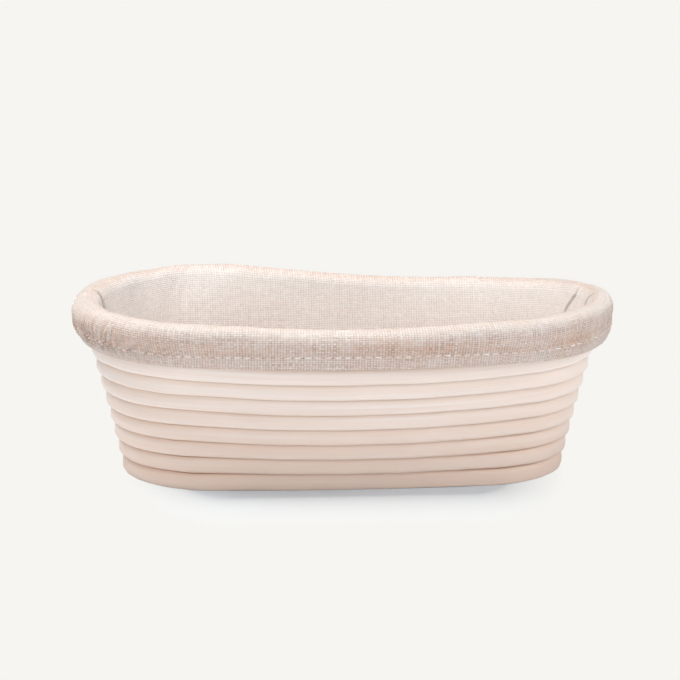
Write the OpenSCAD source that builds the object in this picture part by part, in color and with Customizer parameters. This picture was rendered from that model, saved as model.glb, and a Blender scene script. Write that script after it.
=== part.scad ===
// Oval coiled-cane proofing basket with a fitted linen liner.
// Millimetres, +Z up, X along the basket, origin in the middle of the foot.
// The basket stands on its base coil and on the lowest turn of the wall.

/* [Basket] */
// Length over the rim of the bare basket
rim_len = 250; // [225:1:300]
// Width over the rim of the bare basket
rim_wid = 151; // [130:1:180]
// Length of the foot
base_len = 210; // [190:1:222]
// Width of the foot
base_wid = 90; // [78:1:110]
// Height at the middle of the long sides
basket_h = 78; // [72:1:100]
// How much higher the rim stands at the two ends
end_rise = 2.4; // [0:0.1:6]
// How far the long sides bow out at half height
side_bulge = 10; // [4:0.5:12]
// How far the long sides bow out at the foot
foot_bow = 1; // [0.5:0.1:2]
// How far the long sides bow out at the rim
rim_bow = 3; // [0.5:0.1:6]
// How the ends flare with height: 1 is straight, more flares late
end_flare = 1.15; // [0.9:0.05:1.3]
// How the long sides flare with height: 1 is straight, less flares early
side_flare = 0.95; // [0.75:0.05:1.1]

/* [Cane] */
// Turns of cane in the wall
wall_turns = 10; // [8:1:12]
// Turns of cane in the base, round the core
base_turns = 4; // [3:1:5]
// Thickness of the cane across the wall
cane_t = 7; // [5.5:0.1:8]
// Clearance between neighbouring turns
turn_gap = 0.5; // [0.45:0.05:0.8]
// Depth of the flat on the underside, where the canes meet the table
foot_flat = 0.5; // [0.3:0.1:1]
// Length of the stretch at the back where each turn climbs to the next
climb_len = 140; // [110:1:160]
// How upright the canes' outer face stands along the sides: 0 follows the wall's slope, 1 is plumb
side_upright = 0.75; // [0:0.05:1]
// How upright the canes' outer face stands at the ends
end_upright = 1.2; // [0:0.05:1.4]

/* [Pegs] */
// Diameter of a wooden peg
peg_d = 2; // [1.5:0.1:2.6]
// Length of a wooden peg
peg_len = 12; // [10:0.5:14]
// Pegs in each turn
pegs_per_turn = 6; // [4:1:8]

/* [Liner] */
// Thickness of the linen
cloth_t = 1; // [0.8:0.1:1.3]
// Clearance between the floor panel and the canes under it
cloth_gap = 0.45; // [0.3:0.05:0.6]
// Clearance between the hem and the canes behind it
hem_gap = 0.75; // [0.7:0.05:0.9]
// Clearance between the linen and the inside of the wall
wall_slack = 0.8; // [0.6:0.05:1.2]
// How far the loose fold stands above the rim
roll_rise = 2.2; // [1.5:0.1:5]
// How far the cuff stands out from the canes
cuff_out = 3.4; // [3.3:0.1:5]
// Drop of the cuff from the rim to the hem
cuff_drop = 14.5; // [12.5:0.5:28]
// How far the elastic draws the hem up along the long sides
side_lift = 1.8; // [0:0.1:3]
// Height of the hem casing, from its edge to the stitch row
hem_h = 6.5; // [5.6:0.1:8]
// Width of the elastic
elastic_w = 3; // [2:0.1:3.2]
// Thickness of the elastic
elastic_t = 0.4; // [0.3:0.05:0.5]

/* [Stitches] */
// Length of one stitch
stitch_len = 3; // [1.5:0.1:3.5]
// Distance from one stitch to the next
stitch_pitch = 4.3; // [3.8:0.1:6]
// Thickness of the thread
thread_d = 0.5; // [0.3:0.05:0.6]

/* [Hidden] */

cane_colour = "#f1e2d0";
peg_colour = "#d8bf98";
linen_colour = "#cec3b3";
elastic_colour = "#f4f1ea";
thread_colour = "#e6ded0";

// Stations round the oval: rings of every swept piece lie on them
end_steps = 10;
side_steps = 4;
steps = 2 * (end_steps + side_steps);
end_share = end_steps / steps;
// Shares of the way round, from an end, over which it keeps its own form and then eases into the sides
end_core = end_share / 4;
end_ease = 0.4 * end_share;

pitch = basket_h / wall_turns;
base_a = base_len / 2 - cane_t - turn_gap;
base_b = base_wid / 2 - cane_t - turn_gap;
base_pitch = base_b / (base_turns + 0.5);
base_top = cane_t - foot_flat;

// A cane's cut tip keeps these shares of its height and its thickness
tip = 0.15;
tip_thin = 0.5;
// The lowest turn starts this far under the table, in turns, and is cut level there
dip = 0.1;
// Nudge for measuring slopes of the wall
nudge = 0.01;

// Half section of a cane: place along its height and share of its half thickness
cane_profile = [[-1, 0.72], [-0.5, 0.97], [0.5, 0.97], [1, 0.72]];
cane_section = concat(cane_profile, [for (i = [3:-1:0]) [cane_profile[i][0], -cane_profile[i][1]]]);
// Corners of that section, on the upper and lower edge, outside and inside
upper_out = 3;
lower_out = 0;
upper_in = 4;
lower_in = 7;

function clamp01(x) = min(max(x, 0), 1);
function smooth(x) = let (t = clamp01(x)) t * t * (3 - 2 * t);
function unit(p) = p / norm(p);
function xy(p) = [p[0], p[1]];

// Point of an oval made of four arcs, at a share f of the way round from the +X end
function oval(a, b, bow, f) =
    let (
        g = f - floor(f),
        half_end = end_share / 2,
        r = b - bow,
        c = a - r,
        k = (c * c - bow * bow) / (2 * bow),
        phi = atan2(k, c)
    )
    g > half_end && g < 0.5 - half_end ?
        let (t = phi + (180 - 2 * phi) * (g - half_end) / (0.5 - end_share))
            [(b + k) * cos(t), (b + k) * sin(t) - k] :
    g >= 0.5 - half_end && g < 1 - half_end ? -oval(a, b, bow, g - 0.5) :
        let (t = phi * (g > 0.5 ? g - 1 : g) / half_end) [c + r * cos(t), r * sin(t)];

// The wall's outer crown at a height of v turns
function wall_a(v) = base_len / 2 + (rim_len - base_len) / 2 * pow(max(v, 0) / wall_turns, end_flare);
function wall_b(v) = base_wid / 2 + (rim_wid - base_wid) / 2 * pow(max(v, 0) / wall_turns, side_flare);
function wall_bow(v) = let (t = clamp01(v / wall_turns))
    foot_bow + (rim_bow - foot_bow) * t + 4 * side_bulge * t * (1 - t);
function wall_point(v, f) =
    let (p = oval(wall_a(v), wall_b(v), wall_bow(v), f), rise = end_rise * max(v, 0) / wall_turns)
    [p[0], p[1], v * pitch + rise * pow(p[0] / wall_a(v), 2)];

// The base's lower crown at v turns out from the core
function base_point(v, f) =
    let (inset = (base_turns - v) * base_pitch, p = oval(base_a - inset, base_b - inset, foot_bow, f))
    [p[0], p[1], -foot_flat];

function crown(wall, v, f) = wall ? wall_point(v, f) : base_point(v, f);
function along(wall, v, f) = unit(crown(wall, v, f + nudge) - crown(wall, v, f - nudge));
function across(wall, v, f) =
    let (at = wall ? min(v, wall_turns - nudge) : v)
    (crown(wall, at + nudge, f) - crown(wall, at - nudge, f)) / (2 * nudge);
// Outward normal of the wall, or downward normal of the base
function outward(wall, v, f) = unit(cross(along(wall, v, f), across(wall, v, f)));
// Direction from turn to turn, square to the canes
function upward(wall, v, f) = unit(cross(outward(wall, v, f), along(wall, v, f)));

// Share of a climb that is done at f: nothing at the +X end, all from the back onwards
function climb(f) = f >= 0.5 ? 1 : smooth(0.5 - base_point(base_turns, f)[0] / climb_len);

// Lower and upper edge, in turns, of the strip that station i of a winding lies in. With no tail the
// winding ends level, and with one its last turn tapers off over that many stations.
function strip(i, turns, foot, gap, tail) =
    let (
        k = floor(i / steps),
        low = k - 1 + climb(i / steps - k),
        high = tail == 0 && low + 1 > turns - tip ? turns :
            tail > 0 && i > turns * steps ? turns - (1 - tip) * (i - turns * steps) / tail :
            tail > 0 && i > (turns - 1) * steps + tail ? low + 1 : low + 1 - gap / 2
    )
    [low < tip ? foot : low + gap / 2, high];

// The strip again, cut by the scarf joints at its start and end stations
function scarfed(edges, i, first, last, gap) =
    let (
        h = edges[1] - edges[0],
        from_start = first < 0 ? 1 : clamp01(0.5 + (0.5 - tip) * (i - first)),
        to_end = last < 0 ? 1 : clamp01(0.5 - (0.5 - tip) * (i - last))
    )
    [edges[0] + (from_start < 1 ? h * (1 - from_start) + gap / 2 : 0),
        edges[1] - (to_end < 1 ? h * (1 - to_end) + gap / 2 : 0)];

// Share of its thickness that a cane keeps in a strip, which narrows towards a natural end
function thinned(edges, gap) = tip_thin + (1 - tip_thin) * clamp01((edges[1] - edges[0]) / (1 - gap));

// 1 round the two ends, easing to 0 at the middle of the long sides
function at_ends(f) =
    let (from_end = abs(2 * f - round(2 * f)) / 2) 1 - smooth((from_end - end_core) / end_ease);

// Most that the wall's outer face leans off its slope, from the middle of a cane to its edge
lean_max = cane_t / 7;
// How far it leans there
function face_lean(v, f) =
    let (upright = side_upright + (end_upright - side_upright) * at_ends(f))
    min(-upright * outward(true, v, f)[2] * norm(across(true, v, f)) / 2, lean_max);

// One section of a cane between two edges, cut level at the table
function cane_ring(wall, edges, f, thin) =
    let (mid = (edges[0] + edges[1]) / 2, half = (edges[1] - edges[0]) / 2)
    [for (q = cane_section)
        let (
            v = mid + q[0] * half,
            lean = wall && q[1] > 0 ? face_lean(v, f) * q[0] * (1 + q[1]) / 2 : 0,
            p = crown(wall, v, f) + ((q[1] * thin - 1) * cane_t / 2 - lean) * outward(wall, v, f)
        )
        [p[0], p[1], max(p[2], 0)]];

// A winding starts just past the first corner of the back. The base's ends short of the second corner, and
// the wall's tapers off from the +X end to the first corner.
first_station = end_steps / 2 + 1;
base_last = base_turns * steps + end_steps / 2 + side_steps - 1;
tail_steps = end_steps / 2 - 1;
wall_last = wall_turns * steps + tail_steps;
wall_gap = turn_gap / pitch;
base_gap = turn_gap / base_pitch;

// Sections of a wall cane from one scarf to the next, where -1 is a natural end
function wall_rings(first, last) =
    [for (i = [first < 0 ? first_station : first - 1 : last < 0 ? wall_last : last + 1])
        let (edges = strip(i, wall_turns, -dip, wall_gap, tail_steps))
        cane_ring(true, scarfed(edges, i, first, last, wall_gap), i / steps, thinned(edges, wall_gap))];

base_rings = [for (i = [first_station : base_last])
    let (edges = strip(i, base_turns, base_gap / 2, base_gap, 0))
    cane_ring(false, edges, i / steps, thinned(edges, base_gap))];

// The wall is three lengths of cane, scarfed at the back where a turn climbs
splice_station = (end_steps + side_steps) / 2;
lower_splice = floor(wall_turns / 3) * steps + splice_station;
upper_splice = floor(2 * wall_turns / 3) * steps + splice_station;
lower_rings = wall_rings(-1, lower_splice);
middle_rings = wall_rings(lower_splice, upper_splice);
upper_rings = wall_rings(upper_splice, -1);

// Least distance, on the points of its rings, from a cane to itself one turn on
function least_gap(rings) = min([for (i = [0 : len(rings) - steps - 1])
    min(norm(rings[i][upper_out] - rings[i + steps][lower_out]),
        norm(rings[i][upper_in] - rings[i + steps][lower_in]))]);
echo(least_gap_base_cane = least_gap(base_rings));
echo(least_gap_lower_wall_cane = least_gap(lower_rings));
echo(least_gap_middle_wall_cane = least_gap(middle_rings));
echo(least_gap_upper_wall_cane = least_gap(upper_rings));

function joined(lists) = [for (l = lists) each l];

// Triangles of the skin between n rings of m points, with either diagonal of each quad
function skin(n, m, closed, lean) = [for (i = [0 : n - (closed ? 1 : 2)], j = [0 : m - 1])
    let (a = i * m + j, b = i * m + (j + 1) % m, c = (i + 1) % n * m + j, d = (i + 1) % n * m + (j + 1) % m)
    each lean ? [[a, d, c], [a, b, d]] : [[a, b, c], [b, d, c]]];

// A rod swept through rings, with a fan of triangles on each end
module rod(rings) {
    m = len(rings[0]);
    z = (len(rings) - 1) * m;
    fans = [for (j = [1 : m - 2]) each [[0, j + 1, j], [z, z + j, z + j + 1]]];
    polyhedron(joined(rings), concat(skin(len(rings), m, false, false), fans));
}

// A band swept all round
module hoop(rings) {
    polyhedron(joined(rings), skin(len(rings), len(rings[0]), true, false));
}

// A strip of cloth swept from end to end, its section the two faces of the cloth in turn.
// Its facets lean the way of the canes' facets that they face.
module cloth(rings) {
    m = len(rings[0]);
    z = (len(rings) - 1) * m;
    ends = [for (j = [0 : m / 2 - 2]) let (a = j, b = j + 1, c = m - 2 - j, d = m - 1 - j)
        each [[a, c, b], [a, d, c], [z + a, z + b, z + c], [z + a, z + c, z + d]]];
    polyhedron(joined(rings), concat(skin(len(rings), m, false, true), ends));
}

// Puts a peg's or stitch's length, which lies along Z, on a direction
module aim(p, dir) {
    translate(p) rotate([0, acos(dir[2]), atan2(dir[1], dir[0])]) children();
}

// The core is a stick with the cane's section, rounded in plan at its ends
core_rings = [for (i = [steps / 2 - 0.5 : -1 : 0.5])
    let (edge = base_point(-base_gap / 2, i / steps))
    [for (q = cane_section)
        [edge[0], q[0] * edge[1], max(cane_t / 2 - foot_flat + q[1] * cane_t / 2, 0)]]];

module base_core() { color(cane_colour) rod(core_rings); }
module base_cane() { color(cane_colour) rod(base_rings); }
module lower_wall_cane() { color(cane_colour) rod(lower_rings); }
module middle_wall_cane() { color(cane_colour) rod(middle_rings); }
module upper_wall_cane() { color(cane_colour) rod(upper_rings); }

// Stations of the pegs in turn k, staggered from turn to turn and clear of the climb
peg_step = floor((steps - side_steps) / pegs_per_turn);
function peg_stations(k) = [for (n = [0 : pegs_per_turn - 1])
    k * steps + end_steps / 2 + side_steps + 1 + n * peg_step + (k % 2) * floor(peg_step / 2)];

// A peg from the outer edge of a turn, through it and into the turn before
module peg(wall, i, turns, gap, tail) {
    f = i / steps;
    v = strip(i, turns, 0, gap, tail)[1];
    dir = upward(wall, v, f);
    middle = crown(wall, v, f) - cane_t / 2 * outward(wall, v, f);
    aim(middle - dir * peg_len, dir) cylinder(d = peg_d, h = peg_len, $fn = 24);
}

// The first turn of the base is pegged to the core along its front
core_peg_stations = [for (i = [-1 : 1]) steps / 2 + splice_station + 2 * i];

module base_pegs() {
    color(peg_colour) {
        for (i = core_peg_stations) peg(false, i, base_turns, base_gap, 0);
        for (k = [1 : base_turns - 1], i = peg_stations(k)) peg(false, i, base_turns, base_gap, 0);
        // Dowels from the last turn of the base into the wall
        for (i = peg_stations(base_turns)) {
            f = i / steps;
            dir = upward(false, base_turns, f);
            middle = base_point(base_turns, f) + [0, 0, cane_t / 2];
            aim(middle - dir * peg_len / 2, dir)
                cylinder(d = peg_d, h = peg_len / 2 + turn_gap + cane_t / 2, $fn = 24);
        }
    }
}

module wall_pegs() {
    color(peg_colour)
        for (k = [1 : wall_turns - 1], i = peg_stations(k)) peg(true, i, wall_turns, wall_gap, tail_steps);
}

// Height of the rim in turns: it follows the tail down and climbs again along the back
function rim(f) =
    let (g = f - floor(f), tail_share = clamp01(g * steps / tail_steps))
    g < 0.5 ? max(wall_turns - (1 - tip) * tail_share, wall_turns - 1 + climb(g)) : wall_turns;

// The liner: s is the height above the rim, where the wall's slope goes on, n the distance out from the canes
function liner_point(s, n, f) =
    let (v = rim(f) + min(s, 0) / pitch)
    wall_point(v, f) + max(s, 0) / pitch * across(true, rim(f), f) + n * outward(true, v, f);

// Clearance between two layers, or two edges, of cloth that are sewn together
ply_gap = 0.3;
// Clearance between a stitch and the cloth that it lies on
thread_gap = 0.25;
// The stitch row draws the cuff in, over these heights above and below it, from this near its full stand-off
pucker_up = 0.4 * hem_h;
pucker_down = 0.25 * hem_h;
pucker_slack = 0.1;
// How far the elastic lies outside the middle of the casing
elastic_out = 0.05;

inside_n = -cane_t - wall_slack - cloth_t / 2;
fold_n = hem_gap + cloth_t / 2;
valley_n = fold_n + cloth_t + ply_gap;
roll_r = (cuff_out - inside_n) / 2;
roll_n = (cuff_out + inside_n) / 2;
roll_s = roll_rise + cloth_t / 2 - roll_r;
hem_s = -cuff_drop;
hem_r = (cuff_out - fold_n) / 2;
stitch_s = hem_s + hem_h;
floor_z = base_top + cloth_gap;
inside_runs = 6;

// How far the hem and its stitch row are drawn up
function lift(f) = side_lift * (1 - at_ends(f));

// Height at which the band meets the floor panel, from the rim
function seam_s(f) = floor_z - inside_n * outward(true, floor_z / pitch, f)[2] - rim(f) * pitch;

// The band's path across the cloth: up the inside, over the rim and down the cuff to the stitch row
function band_path(f) = concat(
    [for (i = [0 : inside_runs]) [seam_s(f) + (roll_s - seam_s(f)) * i / inside_runs, inside_n]],
    [for (t = [144 : -36 : 0]) [roll_s + roll_r * sin(t), roll_n + roll_r * cos(t)]],
    [[stitch_s + pucker_up + lift(f), cuff_out - pucker_slack], [stitch_s + lift(f), valley_n]]);

// The casing: from the stitch row down, round the edge of the hem and back up behind
function casing_path(f) = concat(
    [[stitch_s - pucker_down + lift(f), cuff_out - pucker_slack]],
    [for (t = [0 : -45 : -180]) [hem_s + lift(f) + hem_r + hem_r * sin(t), fold_n + hem_r + hem_r * cos(t)]],
    [[stitch_s - ply_gap + lift(f), fold_n]]);

// The path's two faces, half the cloth's thickness to each side of it
function faces_of(path) =
    let (
        n = len(path) - 1,
        run = [for (i = [0 : n]) path[min(i + 1, n)] - path[max(i - 1, 0)]],
        side = [for (d = run) unit([-d[1], d[0]]) * cloth_t / 2]
    )
    concat([for (i = [0 : n]) path[i] + side[i]], [for (i = [n : -1 : 0]) path[i] - side[i]]);

// The band starts and ends at the middle of the -X end, where its seam is
liner_rings = [for (i = [0 : steps])
    let (f = 0.5 + i / steps, shift = i == 0 ? -ply_gap / 2 : i == steps ? ply_gap / 2 : 0)
    [for (q = faces_of(concat(band_path(f), casing_path(f)))) liner_point(q[0], q[1], f) + [0, shift, 0]]];

module liner_side() { color(linen_colour) cloth(liner_rings); }

// Edge of the floor panel, just inside the band
function floor_edge(f) = xy(liner_point(seam_s(f), inside_n - cloth_t / 2 - ply_gap, f));

module liner_floor() {
    color(linen_colour) translate([0, 0, floor_z]) linear_extrude(cloth_t)
        polygon([for (i = [0 : steps - 1]) floor_edge(i / steps)]);
}

module hem_elastic() {
    low = hem_s + hem_r;
    mid_n = fold_n + hem_r + elastic_out;
    section = [[low, mid_n - elastic_t / 2], [low, mid_n + elastic_t / 2],
        [low + elastic_w, mid_n + elastic_t / 2], [low + elastic_w, mid_n - elastic_t / 2]];
    color(elastic_colour) hoop([for (i = [0 : steps - 1])
        [for (q = section) liner_point(q[0] + lift(i / steps), q[1], i / steps)]]);
}

// A straight stitch centred on p and lying along a direction
module stitch(p, dir, length) {
    aim(p - dir * length / 2, dir) translate([-thread_d / 2, -thread_d / 2, 0])
        cube([thread_d, thread_d, length]);
}

// Stitches along the chord between two points
module stitch_run(p, q) {
    n = max(1, round(norm(q - p) / stitch_pitch));
    for (i = [0 : n - 1]) stitch(p + (q - p) * (i + 0.5) / n, unit(q - p), stitch_len);
}

module hem_thread() {
    n = valley_n + cloth_t / 2 + thread_d / 2 + thread_gap;
    row = [for (i = [0 : steps]) liner_point(stitch_s + lift(i / steps), n, i / steps)];
    color(thread_colour) for (i = [0 : steps - 1]) stitch_run(row[i], row[i + 1]);
}

// Stitches that cross from the floor panel into the band
module floor_seam_thread() {
    color(thread_colour) for (i = [0 : steps - 1]) {
        p = floor_edge(i / steps);
        q = floor_edge((i + 1) / steps);
        n = max(1, round(norm(q - p) / stitch_pitch));
        dir = unit([q[1] - p[1], p[0] - q[0], 0]);
        for (j = [0 : n - 1]) {
            at = p + (q - p) * (j + 0.5) / n;
            stitch([at[0], at[1], floor_z + cloth_t / 2], dir, stitch_len);
        }
    }
}

// Stitches that cross the joint where the two ends of the band meet
module side_seam_thread() {
    path = band_path(0.5);
    color(thread_colour) for (i = [0 : len(path) - 2]) {
        p = path[i];
        q = path[i + 1];
        n = max(1, round(norm(q - p) / stitch_pitch));
        for (j = [0 : n - 1]) {
            at = p + (q - p) * (j + 0.5) / n;
            stitch(liner_point(at[0], at[1], 0.5), [0, 1, 0], stitch_len);
        }
    }
}

base_core();
base_cane();
lower_wall_cane();
middle_wall_cane();
upper_wall_cane();
base_pegs();
wall_pegs();
liner_floor();
liner_side();
hem_elastic();
hem_thread();
floor_seam_thread();
side_seam_thread();
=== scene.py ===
"""Dresses a coiled-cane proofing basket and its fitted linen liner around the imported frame, in metres."""

import math
from typing import NamedTuple

import bpy
import numpy as np
from bpy.props import FloatProperty, FloatVectorProperty, IntProperty, PointerProperty
from mathutils import Matrix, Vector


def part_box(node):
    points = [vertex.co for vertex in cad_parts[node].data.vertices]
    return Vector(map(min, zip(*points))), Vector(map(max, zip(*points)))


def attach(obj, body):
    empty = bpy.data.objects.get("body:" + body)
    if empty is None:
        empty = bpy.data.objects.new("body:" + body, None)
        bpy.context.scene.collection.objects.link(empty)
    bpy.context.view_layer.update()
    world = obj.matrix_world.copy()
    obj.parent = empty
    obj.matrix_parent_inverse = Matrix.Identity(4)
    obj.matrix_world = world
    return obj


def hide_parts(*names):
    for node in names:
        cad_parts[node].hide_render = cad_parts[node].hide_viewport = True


bl_info = {
    "name": "Proofing Basket",
    "version": (1, 0, 0),
    "blender": (4, 5, 0),
    "location": "3D View > Sidebar > Basket",
    "description": "Builds an oval coiled-cane proofing basket with a fitted linen liner",
    "category": "Object",
}

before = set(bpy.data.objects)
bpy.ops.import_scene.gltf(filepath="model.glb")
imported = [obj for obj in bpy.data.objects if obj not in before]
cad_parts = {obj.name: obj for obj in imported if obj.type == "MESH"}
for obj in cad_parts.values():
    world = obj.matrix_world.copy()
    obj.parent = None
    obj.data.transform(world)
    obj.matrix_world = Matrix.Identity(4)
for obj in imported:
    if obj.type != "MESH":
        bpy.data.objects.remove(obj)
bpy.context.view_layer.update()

MM = 0.001
# Width of the picture and focal length of its camera in pixels, and width of the sensor in mm
IMAGE_PIXELS = 680
FOCAL_PIXELS = 2600
SENSOR_MM = 36.0

# Stations of the winding's plan in one turn
STATIONS = 28
# Share of the way round the oval that each end takes, and half of it
END_SHARE = 10 / STATIONS
HALF_END = END_SHARE / 2
# Small step for measuring slopes, in turns and in shares of the way round
NUDGE = 0.01
# Shares of its height and thickness that a cane keeps at a cut tip
TIP = 0.15
TIP_THIN = 0.5
# Where the winding starts and the base's ends, and lengths of its tail and of half a scarf joint, in turns
WIND_START = 6 / STATIONS
BASE_END = 8 / STATIONS
TAIL = 4 / STATIONS
SCARF = 1 / STATIONS
# Where the lengths of cane in the wall meet, in turns
SPLICES = (3 + 7 / STATIONS, 6 + 7 / STATIONS)
# Share of its height that a cane keeps at the tip of a scarf joint
FEATHER = 0.03
# Share of the way round at which the side seam lies
SEAM_AT = 0.5
# Turns of the wall that the cuff covers
HEM_TURNS = 2
# How far the wall's first turn starts below the floor, where it is cut flat, in turns
WALL_DIP = -0.1
# Seeds of the canes' unevenness, and how often it changes
WALL_SEED = 21
BASE_SEED = 31
STRAY_RATE = 9
STRAY_TURNS = 7
SWELL_RATE = 23
# Most that a wall cane's face leans, as a share of its thickness: under the cuff, and how much more below it
LEAN_COVERED = 0.14
LEAN_BARE = 0.1
# Points round a cane's section, sections in one turn, and sections of the core
SECTION_POINTS = 28
TURN_STATIONS = 168
CORE_STATIONS = 120
# Shares of the way round between which the core runs
CORE_ENDS = (0.01, 0.49)
# Height up to which the canes are painted darker and browner, as painted shade near the floor, and how dark
# the painted shade under a cane's lip is
FOOT_SHADE_HEIGHT = 62 * MM
LIP_SHADE = 0.35

# Rows across the liner's band, part by part
INSIDE_ROWS = 56
ROLL_ROWS = 36
CUFF_ROWS = 16
CASING_ROWS = 12
HEM_ROWS = 10
BACK_ROWS = 8
# Rows at which the roll and the cuff start, the casing is sewn and the hem turns under
ROLL_START = INSIDE_ROWS - 1
CUFF_START = ROLL_START + ROLL_ROWS
STITCH_ROW = CUFF_START + CUFF_ROWS - 2
HEM_START = STITCH_ROW + CASING_ROWS
# Share of the roll at which the outside starts
OUTER_ROLL = 0.4
# How much closer together the rows inside lie towards the rim
ROW_CROWDING = 1.8
# Columns round the band, the floor panel and the elastic, and places in a list of lengths round the rim
BAND_COLUMNS = 1232
FLOOR_COLUMNS = 280
ELASTIC_COLUMNS = 560
LISTED_PLACES = 721
# Share of the way round over which the cloth evens out the rim, and places that it is evened over
RIM_EASE = 0.02
RIM_PLACES = 9
# How far above and below it the stitch row draws the cloth in
DRAW_ABOVE = 1.1 * MM
DRAW_BELOW = 0.9 * MM
# How far the gathers lean below and above the stitch row, and how far that varies, in gathers for each mm
LEAN_BELOW = 0.24
LEAN_ABOVE = 0.03
LEAN_VARIES = 0.08
# How far the gathers stray along the hem, in gathers, and how sharp their ridges are
GATHER_STRAY = 1.4
RIDGE_SHARPNESS = 1.4
# How far the gathers reach above and below the stitch row, in mm
GATHERS_UP = 5.5
GATHERS_DOWN = 4.0
# Heights of the waves and ripples in the cloth, and depth of the dents that the needle leaves
WAVE_HEIGHT = 0.22 * MM
RIPPLE_HEIGHT = 0.05 * MM
DENT_DEPTH = 0.15 * MM
# Widths of a needle dent, of a crease's groove and of its painted dark line of shade, in mm, and of the side
# seam's groove
DENT_WIDTH = 0.7
GROOVE_WIDTH = 1.0
LINE_WIDTH = 0.7
SEAM_WIDTH = 0.8 * MM
# Painted light on the linen: how much lighter it is painted at the bottom, on the crest and on the hem, next
# to 1 at the top of the inside
FLOOR_LIGHT = 0.45
CREST_LIGHT = 0.7
HEM_LIGHT = 0.22
# Share of the height inside over which a crease comes up, and share of the roll at which it starts to slant
CREASE_EASE = 0.1
SLANT_FROM = 0.3
# Rings of the floor panel, the share of its size that the innermost has, its soft edge and its swell
FLOOR_RINGS = 46
FLOOR_HUB = 0.004
FLOOR_EDGE = 0.08
FLOOR_SWELL = 0.35 * MM
# Squareness of the elastic's section
ELASTIC_SQUARENESS = 6
# Places along a stitch, sides of its thread, how its ends bend down and how they taper
STITCH_PLACES = 9
THREAD_SIDES = 8
STITCH_BEND = 0.999
TAPER_FROM = 0.12
TAPER_CURVE = 0.35
# How high the hem's stitches stand and how deep stitches sink, in radii of the thread
HEM_ARCH = 1.3
STITCH_SUNK = 0.6
# Height of the floor seam in the cloth, how steeply it climbs the band, and how deep the side seam lies
FLOOR_SEAM_HEIGHT = 0.72
FLOOR_SEAM_CLIMB = 0.9
SIDE_SEAM_DEPTH = 0.35

# Rates at which the cane's fibres, streaks and clouds change along and across it, for each metre
FIBRE_RATES = (18, 1500)
STREAK_RATES = (6, 330)
CLOUD_RATES = (9, 40)
# Rates at which the pegs' grain changes
GRAIN_RATES = (2200, 2200, 160)
# Rates at which the weave sways and the linen's tone drifts, and how far a thread sways, in threads
SWAY_RATE = 25
PATCH_RATE = 30
THREAD_SWAY = 0.2
# Rates at which tones change: warp by thread and along it, weft along it and by thread, gaps by thread
WARP_RATES = (7.3, 55)
WEFT_RATES = (42, 5.7)
GAP_RATES = (3.7, 2.9)
# Contrast of the warp's and the weft's tones, and what sets the weft's tones apart
WARP_CONTRAST = 0.65
WEFT_CONTRAST = 0.72
WEFT_LAYER = 4.0
# How flat a thread is along its top
THREAD_FLATNESS = 0.45
# Rates of the sewing thread's twist along and round it, of where it is sunk, and of the elastic's ribs
TWIST_RATES = (9000, 4000)
SUNK_RATE = 110
RIB_RATE = 9000

# Half the floor's size, how its shadow fades, and where the lamps aim
FLOOR_HALF = 3.0
SHADOW_CURVE = 0.42
LAMP_AIM = (0, 0, 0.04)
# Tints of the lamps
WARM = (0.985, 0.985, 0.975)
COOL = (0.93, 0.97, 1.0)


class Fold(NamedTuple):
    """A crease in the cloth, with lengths in mm and heights as shares of the lip's depth."""

    # Share of the way round, and the side to which the cloth puffs up
    at: float
    way: int
    # Its height, and the widths of its steep and soft sides
    height: float
    steep: float
    soft: float
    # How far it runs sideways inside, towards the bottom, and over the roll
    slant: float
    turn: float
    # Depth of the groove beside it, its distance, and how dark the painted shade line in it is
    groove: float
    line_at: float
    shade: float
    # Share of the height inside at which it starts, and shares of the roll where and over which it fades
    start: float
    end: float
    fade: float


# Creases over the rim at the two ends, and a pleat inside the +X end
OVER_RIM = {
    "steep": 0.7, "soft": 6, "slant": 0, "turn": 6, "groove": 0.4, "line_at": 0.6, "shade": 1.1,
    "start": 0.86, "end": 0.08, "fade": 0.4}
FOLDS = (
    Fold(at=0.983, way=-1, height=0.6, **OVER_RIM),
    Fold(at=0.478, way=1, height=0.8, **OVER_RIM),
    Fold(
        at=0.0275, way=-1, height=0.55, steep=0.8, soft=7, slant=95, turn=0, groove=0, line_at=0.8,
        shade=0.7, start=0.82, end=0.05, fade=0.25),
)


def size(name, millimetres, description):
    """A length that a user may change, kept in metres."""
    return FloatProperty(
        name=name, description=description, default=millimetres * MM, precision=5,
        unit="LENGTH", subtype="DISTANCE")


def number(name, default, description):
    """A plain number that a user may change."""
    return FloatProperty(name=name, description=description, default=default, precision=3)


def count(name, default, description):
    """A whole number that a user may change."""
    return IntProperty(name=name, description=description, default=default, min=1)


def turned(name, degrees, description):
    """An angle that a user may change, kept in radians."""
    return FloatProperty(
        name=name, description=description, default=math.radians(degrees), unit="ROTATION", subtype="ANGLE")


def linear(channel):
    """A display value from 0 to 255 as scene light."""
    c = channel / 255
    return c / 12.92 if c <= 0.04045 else ((c + 0.055) / 1.055) ** 2.4


def colour(name, red, green, blue, description):
    """A colour that a user may change, written as it looks on a display."""
    return FloatVectorProperty(
        name=name, description=description, size=3, min=0.0, max=1.0, subtype="COLOR",
        default=(linear(red), linear(green), linear(blue)))


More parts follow.
